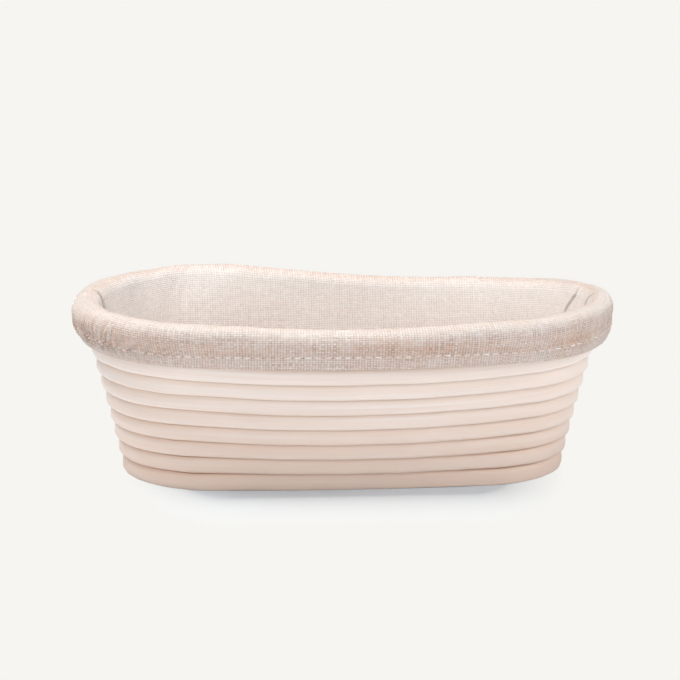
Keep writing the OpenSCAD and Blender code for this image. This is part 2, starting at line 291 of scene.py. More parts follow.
class BasketShape(bpy.types.PropertyGroup):
    """The wall and base that the canes are wound to."""

    rim_length: size("Rim length", 250, "Length over the canes at the rim")
    rim_width: size("Rim width", 151, "Width over the canes at the rim")
    base_length: size("Base length", 210, "Length over the canes at the foot")
    base_width: size("Base width", 90, "Width over the canes at the foot")
    height: size("Height", 78, "Height of the wound wall")
    end_rise: size("End rise", 2.4, "How much higher the rim is at the ends")
    side_bulge: size("Side bulge", 10, "How far the long sides bow out half-way up")
    foot_bow: size("Foot bow", 1, "How far the long sides bow out at the foot")
    rim_bow: size("Rim bow", 3, "How far the long sides bow out at the rim")
    end_flare: number("End flare", 1.15, "How the ends flare with height: more flares late")
    side_flare: number("Side flare", 0.95, "How the long sides flare with height: less flares early")
    wall_turns: count("Wall turns", 10, "Turns of cane in the wall")
    base_turns: count("Base turns", 4, "Turns of cane in the base, round the core")
    climb_length: size("Climb length", 140, "Stretch of the back where each turn climbs to the next")

    @property
    def pitch(self):
        return self.height / self.wall_turns


class CaneLook(bpy.types.PropertyGroup):
    """The cane itself and how evenly it is wound."""

    thickness: size("Thickness", 7, "Thickness of the cane across the wall")
    crease: size("Crease", 0.22, "Gap between neighbouring turns")
    seat: size("Seat", 0.5, "Clearance between the base and the wall")
    foot_flat: size("Foot flat", 0.5, "Depth of the flat on the underside")
    squareness: number("Squareness", 3.3, "Section of the cane: 2 is round, more is flatter")
    wander: size("Wander", 0.1, "How far a crease strays from its even height")
    swell: size("Swell", 0.1, "How far a turn stands out of or into the wall")
    upright: number("Upright", 0.75, "How upright the long sides' face is: 0 follows the wall, 1 is plumb")
    end_upright: number("End upright", 1.35, "How upright the outer face is at the ends")
    tone: colour("Cane", 247, 224, 209, "Bare cane")
    light_tone: colour("Pale fibre", 251, 237, 228, "Pale fibres of the cane")
    dark_tone: colour("Dark fibre", 231, 208, 195, "Darker fibres of the cane")
    # Partly the cane's own darker edge, partly painted shade in the crease and under each cane's lip
    edge_shade_and_stain: colour("Crease stain", 222, 196, 174, "Darker edge of a cane, in the crease")
    # Painted shade towards the foot, near the floor's shadow, with the cane browner there
    foot_shade_tone: colour("Foot stain", 241, 211, 192, "Browner cane towards the foot")
    peg_tone: colour("Peg wood", 214, 189, 150, "Wooden pegs")
    peg_grain: colour("Peg grain", 182, 150, 108, "Grain of the wooden pegs")


class LinerShape(bpy.types.PropertyGroup):
    """The linen liner, fitted over the rim."""

    thickness: size("Cloth", 0.9, "Thickness of the linen")
    wall_slack: size("Wall slack", 0.8, "Room between the linen and the inside of the wall")
    cloth_gap: size("Cloth gap", 0.5, "Room between the floor panel and the canes under it")
    hem_gap: size("Hem gap", 0.75, "Room between the hem and the canes behind it")
    roll_rise: size("Roll rise", 2.2, "How far the fold stands above the rim")
    cuff_out: size("Cuff stand-off", 3.4, "How far the cuff stands out from the canes")
    end_stand: size("End stand-off", 1.5, "How much further the hem stands out at the +X end")
    cuff_drop: size("Cuff drop", 14.5, "Drop of the cuff from the rim to the hem")
    side_lift: size("Side lift", 1.8, "How far the elastic draws the hem up along the long sides")
    hem_height: size("Hem height", 6.5, "Height of the hem casing below the stitch row")
    ply_gap: size("Ply gap", 0.3, "Room between two layers of linen")
    draw_in: number("Draw in", 0.7, "How hard the stitch row draws the cuff in")
    gather_pitch: size("Gather pitch", 4.0, "Distance from one gather to the next at the ends")
    gather_depth: size("Gather depth", 1.7, "Depth of the gathers at the ends")
    fold_depth: size("Fold depth", 0.7, "Depth of the soft folds inside the ends")
    lip_depth: size("Lip depth", 1.7, "How far the fold's inner lip hangs over at the ends")
    seam_depth: size("Seam depth", 0.55, "Depth of the groove along the side seam")
    elastic_width: size("Elastic width", 3, "Width of the elastic in the hem")
    elastic_thickness: size("Elastic thickness", 0.4, "Thickness of the elastic in the hem")
    cut_length: size("Cut length", 690, "Length that the side band is cut to")
    cut_width: size("Cut width", 116, "Width that the side band is cut to")


class StitchShape(bpy.types.PropertyGroup):
    """The sewing thread and its stitches."""

    length: size("Stitch length", 3.2, "Length of one stitch")
    pitch: size("Stitch pitch", 4.5, "Distance from one stitch to the next")
    thread: size("Thread", 0.75, "Thickness of the thread")


class LinenLook(bpy.types.PropertyGroup):
    """Colours and weave of the linen, the thread and the elastic."""

    warp_pitch: size("Warp pitch", 1.3, "Distance from one upright thread of the weave to the next")
    weft_pitch: size("Weft pitch", 0.85, "Distance from one level thread of the weave to the next")
    tone: colour("Linen", 225, 190, 170, "Middle tone of the linen")
    # Also the colour that the painted light on the crest, inside and hem mixes toward
    light_tone: colour("Pale threads", 237, 236, 234, "Pale threads of the linen")
    dark_tone: colour("Dark threads", 162, 122, 100, "Dark threads of the linen")
    # Painted shade in the creases and between the gathers
    crease_shade_tone: colour("Crease", 150, 132, 124, "Shade in the creases and between the gathers")
    thread_tone: colour("Thread", 253, 248, 242, "Sewing thread")
    elastic_tone: colour("Elastic", 242, 238, 230, "Elastic")


class StageLook(bpy.types.PropertyGroup):
    """The camera, the light and the floor."""

    lens: number("Lens", FOCAL_PIXELS * SENSOR_MM / IMAGE_PIXELS, "Focal length of the camera, in mm")
    distance: size("Distance", 1253.37, "Distance from the middle of the foot to the camera")
    elevation: turned("Elevation", 16.0074, "Height of the camera above the floor, as an angle")
    azimuth: turned("Azimuth", 4.43, "How far the basket is turned from square on to the camera")
    tilt: turned("Tilt", 13.3094, "How far the camera looks down")
    roll: turned("Roll", 0.2365, "How far the camera is rolled")
    sideways: size("Sideways", -1.6925, "How far the camera stands to the side")
    backdrop: colour("Backdrop", 246, 245, 241, "Colour behind the basket")
    floor_tone: colour("Floor", 230, 241, 250, "Colour of the floor")
    shadow_start: size("Shadow start", 2, "Where the floor's shadow starts to fade, from the foot")
    shadow_end: size("Shadow end", 47, "Where the floor's shadow has faded, from the foot")
    side_fade: number("Side fade", 2.0, "How much faster the shadow fades past the ends")
    world_light: number("World light", 0.375, "Strength of the even light from all round")
    top_light: number("Top light", 14.6, "Power of the large light overhead, in watts")
    side_light: number("Side light", 3.4, "Power of the light from the right, in watts")
    front_light: number("Front light", 3.4, "Power of the light from the front, in watts")


# Shapes of the winding

def smooth(x):
    """Eases from 0 to 1."""
    t = np.clip(x, 0, 1)
    return t * t * (3 - 2 * t)


def at_least(least, share):
    """A share from 0 to 1, brought up to run from least to 1."""
    return least + (1 - least) * share


def bell(x, width, power=2):
    """1 at 0, falling away on both sides."""
    return np.exp(-(x / width) ** power)


def unit(p):
    return p / np.linalg.norm(p, axis=-1, keepdims=True)


def wander(seed, rate, waves=6):
    """A smooth random curve of about -1 to 1 that closes on itself in one turn where rate is whole."""
    rng = np.random.default_rng(seed)
    rates = rng.integers(max(1, round(rate * 0.5)), max(2, round(rate * 1.7)) + 1, waves)
    phases = rng.uniform(0, 2 * math.pi, waves)
    return lambda q: sum(np.sin(2 * math.pi * r * q + p) for r, p in zip(rates, phases)) / math.sqrt(waves)


def oval(a, b, bow, f):
    """Points of an oval of four arcs, at shares f of the way round from the +X end."""
    g = f - np.floor(f)
    flip = (g >= 0.5 - HALF_END) & (g < 1 - HALF_END)
    g = np.where(flip, g - 0.5, np.where(g >= 1 - HALF_END, g - 1, g))
    r = b - bow
    c = a - r
    k = (c * c - bow * bow) / (2 * bow)
    phi = np.arctan2(k, c)
    on_side = g > HALF_END
    t = np.where(on_side, phi + (math.pi - 2 * phi) * (g - HALF_END) / (0.5 - END_SHARE), phi * g / HALF_END)
    x = np.where(on_side, (b + k) * np.cos(t), c + r * np.cos(t))
    y = np.where(on_side, (b + k) * np.sin(t) - k, r * np.sin(t))
    sign = np.where(flip, -1, 1)
    return np.stack([sign * x, sign * y], axis=-1)


def at_ends(f):
    """1 round the two ends, easing to 0 at the middle of the long sides."""
    from_end = np.abs(f * 2 - np.round(f * 2)) / 2
    return 1 - smooth((from_end - 0.5 * HALF_END) / (0.8 * HALF_END))


class Shell:
    """A surface that canes lie in: a point for each height in turns and share of the way round."""

    def __init__(self, point, top=math.inf):
        self.point = point
        self.top = top

    def along(self, v, f):
        return unit(self.point(v, f + NUDGE) - self.point(v, f - NUDGE))

    def across(self, v, f):
        at = np.minimum(v, self.top - NUDGE)
        return (self.point(at + NUDGE, f) - self.point(at - NUDGE, f)) / (2 * NUDGE)

    def outward(self, v, f):
        return unit(np.cross(self.along(v, f), self.across(v, f)))


def wall_shell(shape):
    """The wall's outer crown."""
    def point(v, f):
        v, f = np.broadcast_arrays(np.asarray(v, float), np.asarray(f, float))
        share = np.maximum(v, 0) / shape.wall_turns
        level = np.clip(share, 0, 1)
        a = (shape.base_length + (shape.rim_length - shape.base_length) * share ** shape.end_flare) / 2
        b = (shape.base_width + (shape.rim_width - shape.base_width) * share ** shape.side_flare) / 2
        bow = shape.foot_bow + (shape.rim_bow - shape.foot_bow) * level
        bow = bow + 4 * shape.side_bulge * level * (1 - level)
        p = oval(a, b, bow, f)
        z = v * shape.pitch + shape.end_rise * share * (p[..., 0] / a) ** 2
        return np.concatenate([p, z[..., None]], axis=-1)

    return Shell(point, shape.wall_turns)


def base_half_sizes(shape, cane):
    """Half length and half width of the base inside the wall."""
    inset = cane.thickness + cane.seat
    return shape.base_length / 2 - inset, shape.base_width / 2 - inset


def base_pitch(shape, cane):
    return base_half_sizes(shape, cane)[1] / (shape.base_turns + 0.5)


def base_shell(shape, cane):
    """The base's lower crown, at turns out from the core."""
    half_length, half_width = base_half_sizes(shape, cane)

    def point(v, f):
        v, f = np.broadcast_arrays(np.asarray(v, float), np.asarray(f, float))
        inset = (shape.base_turns - v) * base_pitch(shape, cane)
        p = oval(half_length - inset, half_width - inset, shape.foot_bow, f)
        return np.concatenate([p, np.full(p.shape[:-1] + (1,), -cane.foot_flat)], axis=-1)

    return Shell(point)


def climb(shape, cane, f):
    """Share of a climb that is done: nothing at the +X end, all from the back onwards."""
    x = base_shell(shape, cane).point(shape.base_turns, f)[..., 0]
    return np.where(f >= 0.5, 1, smooth(0.5 - x / shape.climb_length))


class Coil:
    """A cane wound on a shell, with its edges in turns. With a tail it is shingled and its end tapers off."""

    def __init__(self, shape, cane, shell, turns, pitch, foot, tail, seed):
        self.shape = shape
        self.cane = cane
        self.shell = shell
        self.turns = turns
        self.gap = cane.crease / pitch
        self.foot = foot
        self.tail = tail
        stray = wander(seed, STRAY_RATE)
        self.stray = lambda q: cane.wander / pitch * stray(q / turns * STRAY_TURNS + np.sin(q))
        self.swell = wander(seed + 1, SWELL_RATE)

    def edges(self, q):
        """Lower and upper edge of the strip that the cane fills."""
        turn = np.floor(q)
        low = turn - 1 + climb(self.shape, self.cane, q - turn)
        lower = np.where(q < 1 + WIND_START, self.foot, low + self.gap / 2 + self.stray(q - 1))
        upper = low + 1 - self.gap / 2 + self.stray(q)
        if self.tail:
            upper = np.where(q > self.turns - 1 + self.tail, low + 1, upper)
            over = (q - self.turns) / self.tail
            return lower, np.where(over > 0, self.turns - (1 - TIP) * over, upper)
        level = smooth((q - self.turns + 1 - BASE_END) / SCARF)
        return lower, upper + np.where(q > self.turns, 1, level) * (self.turns - upper)

    def rings(self, q, first=None, last=None):
        """Sections of the cane at q turns, cut by the scarf joints at first and last."""
        low, high = self.edges(q)
        share = np.clip((high - low) / (1 - self.gap), 0, 1)
        thin = at_least(TIP_THIN, share)
        height = high - low
        if first is not None:
            kept = np.clip(0.5 + (0.5 - FEATHER) * (q - first) / SCARF, 0, 1)
            low = low + np.where(kept < 1, height * (1 - kept) + self.gap / 2, 0)
        if last is not None:
            kept = np.clip(0.5 - (0.5 - FEATHER) * (q - last) / SCARF, 0, 1)
            high = high - np.where(kept < 1, height * (1 - kept) + self.gap / 2, 0)
        place, depth = cane_section(self.cane.squareness)
        v = ((low + high) / 2)[:, None] + ((high - low) / 2)[:, None] * place
        swell = (self.cane.swell * self.swell(q))[:, None]
        out = (depth * thin[:, None] - 1) * self.cane.thickness / 2 + swell
        outward = self.shell.outward(v, q[:, None])
        if self.tail:
            step = -outward[..., 2] * np.linalg.norm(self.shell.across(v, q[:, None]), axis=-1)
            ends = at_ends(q)[:, None]
            upright = self.cane.upright + (self.cane.end_upright - self.cane.upright) * ends
            bare = smooth((self.turns - HEM_TURNS - v) / HEM_TURNS)
            most = self.cane.thickness * (LEAN_COVERED + LEAN_BARE * bare)
            out = out - np.minimum(upright * step / 2, most) * place * (1 + depth) / 2
        p = self.shell.point(v, q[:, None]) + out[..., None] * outward
        p[..., 2] = np.maximum(p[..., 2], 0)
        return p


def cane_section(squareness):
    """Places along the height and across the thickness of a rounded oblong section, from -1 to 1."""
    t = np.arange(SECTION_POINTS) * 2 * math.pi / SECTION_POINTS
    place = np.sign(np.sin(t)) * np.abs(np.sin(t)) ** (2 / squareness)
    depth = np.sign(np.cos(t)) * np.abs(np.cos(t)) ** (2 / squareness)
    return place, depth


# Meshes

def grid_quads(rows, columns, rows_close, columns_close):
    """Corner rows and corner columns of the quads of a grid, counted on past the end where it closes."""
    i, j = np.meshgrid(
        np.arange(rows if rows_close else rows - 1), np.arange(columns if columns_close else columns - 1),
        indexing="ij")
    i = i.ravel()
    j = j.ravel()
    return np.stack([i, i + 1, i + 1, i], axis=-1), np.stack([j, j, j + 1, j + 1], axis=-1)


def signed_volume(points, quads):
    a, b, c, d = (points[quads[:, n]] for n in range(4))
    return np.sum(np.cross(b - a, c - a) * a + np.cross(c - a, d - a) * a)


def add_piece(name, points, quads, caps, uv, material, points_data=()):
    """A smooth mesh object. uv holds a place in metres for each corner of the quads."""
    points = points.reshape(-1, 3)
    if signed_volume(points, quads) < 0:
        quads = quads[:, ::-1]
        uv = uv[:, ::-1]
        caps = [cap[::-1] for cap in caps]
    mesh = bpy.data.meshes.new(name)
    mesh.from_pydata(points.tolist(), [], quads.tolist() + [list(map(int, cap)) for cap in caps])
    layer = mesh.uv_layers.new(name="Weave")
    flat = np.zeros((len(mesh.loops), 2))
    flat[: quads.size] = uv.reshape(-1, 2)
    layer.uv.foreach_set("vector", flat.ravel())
    for key, values in dict(points_data).items():
        data = mesh.attributes.new(key, "FLOAT", "POINT")
        data.data.foreach_set("value", np.asarray(values, float).ravel())
    mesh.shade_smooth()
    mesh.validate()
    mesh.materials.append(material)
    piece = bpy.data.objects.new(name, mesh)
    bpy.context.scene.collection.objects.link(piece)
    return piece


def run_lengths(points, axis):
    """Lengths along an axis of a grid of points, from its start, as the mean over the other axis."""
    steps = np.linalg.norm(np.diff(points, axis=axis), axis=-1).mean(axis=1 - axis)
    return np.concatenate([[0], np.cumsum(steps)])


def swept(name, rings, material, closed=False, points_data=(), around=None, along=None, shift=None):
    """A closed skin through rings of points: a rod with flat ends, or a band closed all round."""
    n, m = rings.shape[:2]
    i, j = grid_quads(n, m, closed, True)
    quads = i % n * m + j % m
    looped = np.concatenate([rings, rings[:1]]) if closed else rings
    u = run_lengths(looped, 0) if along is None else along
    v = run_lengths(np.concatenate([rings, rings[:, :1]], axis=1), 1) if around is None else around
    caps = [] if closed else [np.arange(m)[::-1], (n - 1) * m + np.arange(m)]
    uv = np.stack([u[i], v[j]], axis=-1)
    if shift is not None:
        uv[..., 0] += shift[i % n, j % m]
    return add_piece(name, rings, quads, caps, uv, material, points_data)


def threads(name, paths, ups, radius, material):
    """Short round threads, one along each path, that taper into the cloth at both ends."""
    tubes, places = paths.shape[:2]
    sides = THREAD_SIDES
    run = unit(np.gradient(paths, axis=1))
    up = unit(ups - np.sum(ups * run, axis=-1, keepdims=True) * run)
    side = np.cross(run, up)
    turn = np.arange(sides) * 2 * math.pi / sides
    taper = np.sin(np.linspace(TAPER_FROM, 1 - TAPER_FROM, places) * math.pi) ** TAPER_CURVE
    ring = np.cos(turn)[:, None] * up[:, :, None] + np.sin(turn)[:, None] * side[:, :, None]
    points = paths[:, :, None] + radius * taper[:, None, None] * ring
    i, j = grid_quads(places, sides, False, True)
    one = i * sides + j % sides
    first = (np.arange(tubes) * places * sides)[:, None, None]
    quads = (one[None] + first).reshape(-1, 4)
    step = np.linalg.norm(paths[0, -1] - paths[0, 0]) / (places - 1)
    uv = np.stack([i * step, j * 2 * math.pi * radius / sides], axis=-1)
    starts = first.ravel()
    caps = [start + np.arange(sides)[::-1] for start in starts]
    caps += [start + (places - 1) * sides + np.arange(sides) for start in starts]
    return add_piece(name, points, quads, caps, np.tile(uv, (tubes, 1, 1)), material)


def dress(piece, body, slot, *nodes):
    """Sets a piece on its body, in place of its nodes. The slot is not used."""
    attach(piece, body)
    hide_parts(*nodes)


# Finishes

class Nodes:
    """The nodes of a material or of the world."""

    def __init__(self, tree):
        self.tree = tree

    def put(self, socket, value):
        """Links a socket, or sets a plain value."""
        if isinstance(value, bpy.types.NodeSocket):
            self.tree.links.new(value, socket)
        elif socket.type == "RGBA":
            socket.default_value = (*value[:3], 1)
        else:
            socket.default_value = value

    def node(self, kind, output, inputs, **settings):
        """Adds a node and gives back one of its outputs."""
        node = self.tree.nodes.new(kind)
        for key, value in settings.items():
            setattr(node, key, value)
        for key, value in inputs.items():
            self.put(node.inputs[key], value)
        return node.outputs[output]

    def seen_apart(self, share, plain, seen, output):
        """Ends in one shader, with a share of another where the camera looks straight at it."""
        both = self.node("ShaderNodeMixShader", 0, {0: share, 1: plain, 2: seen})
        self.put(self.tree.nodes[output].inputs["Surface"], both)

    def camera_ray(self):
        return self.node("ShaderNodeLightPath", "Is Camera Ray", {})

    def attribute(self, name):
        """A value that the mesh holds for each of its points."""
        return self.node("ShaderNodeAttribute", "Fac", {}, attribute_name=name)

    def math(self, operation, *values):
        return self.node("ShaderNodeMath", 0, dict(enumerate(values)), operation=operation)

    def times(self, first, second):
        return self.math("MULTIPLY", first, second)

    def about_half(self, value, contrast):
        """A value round 0.5 with its contrast changed."""
        return self.math("MULTIPLY_ADD", value, contrast, 0.5 - contrast / 2)

    def wave(self, value):
        """A wave from 0 to 1."""
        return self.math("MULTIPLY_ADD", self.math("SINE", value), 0.5, 0.5)

    def parts(self, vector):
        """The three numbers of a vector."""
        split = self.tree.nodes.new("ShaderNodeSeparateXYZ")
        self.put(split.inputs[0], vector)
        return tuple(split.outputs)

    def weave_place(self):
        """The place on the cloth or along the cane, in metres, as two numbers."""
        return self.parts(self.node("ShaderNodeUVMap", "UV", {}, uv_map="Weave"))[:2]

    def object_place(self):
        return self.node("ShaderNodeTexCoord", "Object", {})

    def stretched(self, x, y, x_rate, y_rate, z=0.0):
        """A place whose two numbers run at rates of their own."""
        x = self.times(x, x_rate)
        y = self.times(y, y_rate)
        return self.node("ShaderNodeCombineXYZ", 0, {0: x, 1: y, 2: z})

    def noise(self, place, detail, roughness=0.5, scale=1.0):
        return self.node(
            "ShaderNodeTexNoise", 0,
            {"Vector": place, "Scale": scale, "Detail": detail, "Roughness": roughness})

    def span(self, value, low, high, to_low=0.0, to_high=1.0):
        """Maps a range of values on another, and stays in it."""
        return self.node("ShaderNodeMapRange", 0, {0: value, 1: low, 2: high, 3: to_low, 4: to_high})

    def mix(self, share, first, second):
        return self.node("ShaderNodeMix", 2, {0: share, 6: first, 7: second}, data_type="RGBA")

    def bump(self, height, distance, strength):
        return self.node("ShaderNodeBump", 0, {"Height": height, "Distance": distance, "Strength": strength})


class Finish(Nodes):
    """A material: a Principled shader and the nodes that feed it."""

    def __init__(self, name, **values):
        self.material = bpy.data.materials.new(name)
        self.material.use_nodes = True
        super().__init__(self.material.node_tree)
        self.shader = self.tree.nodes["Principled BSDF"]
        self.set(**values)

    def set(self, **sockets):
        for key, value in sockets.items():
            self.put(self.shader.inputs[key.replace("_", " ")], value)
        return self.material


def cane_finish(cane):
    """Pale rattan: fine fibres along the cane, soft tone changes, and painted shade: darker in the crease,
    partly the cane's own darker edge, under each lip and towards the foot.
    """
    look = Finish("Cane", IOR=1.45)
    u, v = look.weave_place()
    fibre = look.noise(look.stretched(u, v, *FIBRE_RATES), 3, 0.6)
    streak = look.noise(look.stretched(u, v, *STREAK_RATES), 2)
    cloud = look.noise(look.stretched(u, v, *CLOUD_RATES), 3)
    shade = look.mix(look.span(streak, 0.42, 0.75), cane.tone, cane.light_tone)
    shade = look.mix(look.span(fibre, 0.5, 0.78, 0, 0.55), shade, cane.dark_tone)
    shade = look.mix(look.span(cloud, 0.5, 0.8, 0, 0.5), shade, cane.dark_tone)
    # Painted shade: darker at a cane's edges in the crease, partly the cane's own darker edge, and under each
    # cane's lip
    ragged_shade_and_stain = look.times(look.attribute("edge"), look.span(streak, 0.25, 0.7, 0.55, 1.1))
    shade = look.mix(ragged_shade_and_stain, shade, cane.edge_shade_and_stain)
    # Painted shade: darker and browner towards the foot, near the floor
    shade_and_stain = look.times(look.attribute("low"), look.span(cloud, 0.3, 0.7, 0.5, 1.0))
    shade = look.mix(shade_and_stain, shade, cane.foot_shade_tone)
    height = look.math("ADD", look.times(fibre, 0.7), look.times(streak, 0.8))
    return look.set(
        Base_Color=shade, Roughness=look.span(fibre, 0.3, 0.8, 0.5, 0.68),
        Normal=look.bump(height, 0.12 * MM, 0.6))


def peg_finish(cane):
    """Plain split wood with its grain along the peg."""
    look = Finish("Peg_wood", Roughness=0.6)
    long = look.node("ShaderNodeMapping", 0, {"Vector": look.object_place(), "Scale": GRAIN_RATES})
    grain = look.noise(long, 3, 0.6)
    return look.set(
        Base_Color=look.mix(look.span(grain, 0.4, 0.7), cane.peg_tone, cane.peg_grain),
        Normal=look.bump(grain, 0.1 * MM, 0.5))


def linen_finish(linen):
    """Plain-weave linen: each thread has its own tone and slubs, and passes over and under its neighbours."""
    look = Finish(
        "Linen", Roughness=0.92, Sheen_Weight=1.0, Sheen_Roughness=0.3, Sheen_Tint=(0.92, 0.86, 0.79),
        Specular_IOR_Level=0.2)
    u, v = look.weave_place()
    sway = look.noise(look.stretched(u, v, SWAY_RATE, SWAY_RATE), 1)
    sway = look.span(sway, 0.2, 0.8, -THREAD_SWAY, THREAD_SWAY)

    def counted(place, pitch):
        """The number of a thread, and its round top across it."""
        at = look.math("MULTIPLY_ADD", place, 1 / pitch, sway)
        return look.math("FLOOR", at), look.math("SINE", look.times(look.math("FRACT", at), math.pi))

    warp, warp_round = counted(u, linen.warp_pitch)
    weft, weft_round = counted(v, linen.weft_pitch)
    over = look.math("FLOORED_MODULO", look.math("ADD", warp, weft), 2.0)
    under = look.math("SUBTRACT", 1.0, over)

    def uppermost(of_warp, of_weft):
        return look.math("MULTIPLY_ADD", over, of_warp, look.times(under, of_weft))

    warp_tone = look.noise(look.stretched(warp, v, *WARP_RATES), 3, 0.6)
    weft_tone = look.noise(look.stretched(u, weft, *WEFT_RATES, WEFT_LAYER), 3, 0.6)
    tone = uppermost(look.about_half(warp_tone, WARP_CONTRAST), look.about_half(weft_tone, WEFT_CONTRAST))
    top = uppermost(
        look.times(warp_round, look.math("POWER", weft_round, THREAD_FLATNESS)),
        look.times(weft_round, look.math("POWER", warp_round, THREAD_FLATNESS)))
    shade = look.mix(look.span(tone, 0.46, 0.68, 0, 0.7), linen.tone, linen.light_tone)
    shade = look.mix(look.span(tone, 0.47, 0.28), shade, linen.dark_tone)
    patch = look.noise(look.stretched(u, v, PATCH_RATE, PATCH_RATE), 2)
    shade = look.mix(look.span(patch, 0.5, 0.8, 0, 0.3), shade, linen.light_tone)
    # Painted light: lighter over the fold, higher up inside, on the floor panel and on the hem, with the gaps
    # between threads less dark there
    painted_light = look.attribute("painted_light")
    shade = look.mix(look.span(painted_light, 0.0, 1.0, 0.0, 0.8), shade, linen.light_tone)
    uneven = look.noise(look.stretched(warp, weft, *GAP_RATES), 0)
    gaps = look.span(look.times(warp_round, weft_round), 0.6, 0.05, 0, 0.5)
    gaps = look.times(gaps, look.span(uneven, 0.3, 0.7, 0.3, 1.7))
    gaps = look.times(gaps, look.span(painted_light, 0.0, 1.0, 1.0, 0.45))
    shade = look.mix(gaps, shade, linen.dark_tone)
    # Painted shade along the creases' dark lines and between the gathers
    shade = look.mix(look.span(look.attribute("crease"), 0.0, 1.5, 0.0, 0.9), shade, linen.crease_shade_tone)
    slub = look.math("MULTIPLY_ADD", look.span(tone, 0.5, 0.75), 0.5, top)
    return look.set(Base_Color=shade, Normal=look.bump(slub, 0.28 * MM, 0.8))


def thread_finish(linen):
    """Twisted sewing thread, sunk into the cloth in places."""
    look = Finish("Thread", Roughness=0.8, Sheen_Weight=0.15)
    u, v = look.weave_place()
    along, across = TWIST_RATES
    twist = look.wave(look.math("MULTIPLY_ADD", u, along, look.times(v, across)))
    sunk = look.noise(look.object_place(), 1, scale=SUNK_RATE)
    clean = look.times(look.span(twist, 0, 1, 0.6, 1.0), look.span(sunk, 0.35, 0.65, 0.1, 1.0))
    return look.set(
        Base_Color=look.mix(clean, linen.tone, linen.thread_tone), Normal=look.bump(twist, 0.08 * MM, 0.7))


def elastic_finish(linen):
    """White ribbed elastic."""
    look = Finish("Elastic", Roughness=0.75)
    ribs = look.wave(look.times(look.weave_place()[0], RIB_RATE))
    return look.set(
        Base_Color=look.mix(ribs, linen.light_tone, linen.elastic_tone),
        Normal=look.bump(ribs, 0.1 * MM, 0.6))


# Each finish's maker and the settings that it takes
FINISHES = {
    "Cane": (cane_finish, "basket_cane"),
    "Peg_wood": (peg_finish, "basket_cane"),
    "Linen": (linen_finish, "basket_linen"),
    "Thread": (thread_finish, "basket_linen"),
    "Elastic": (elastic_finish, "basket_linen"),
}


# Liner

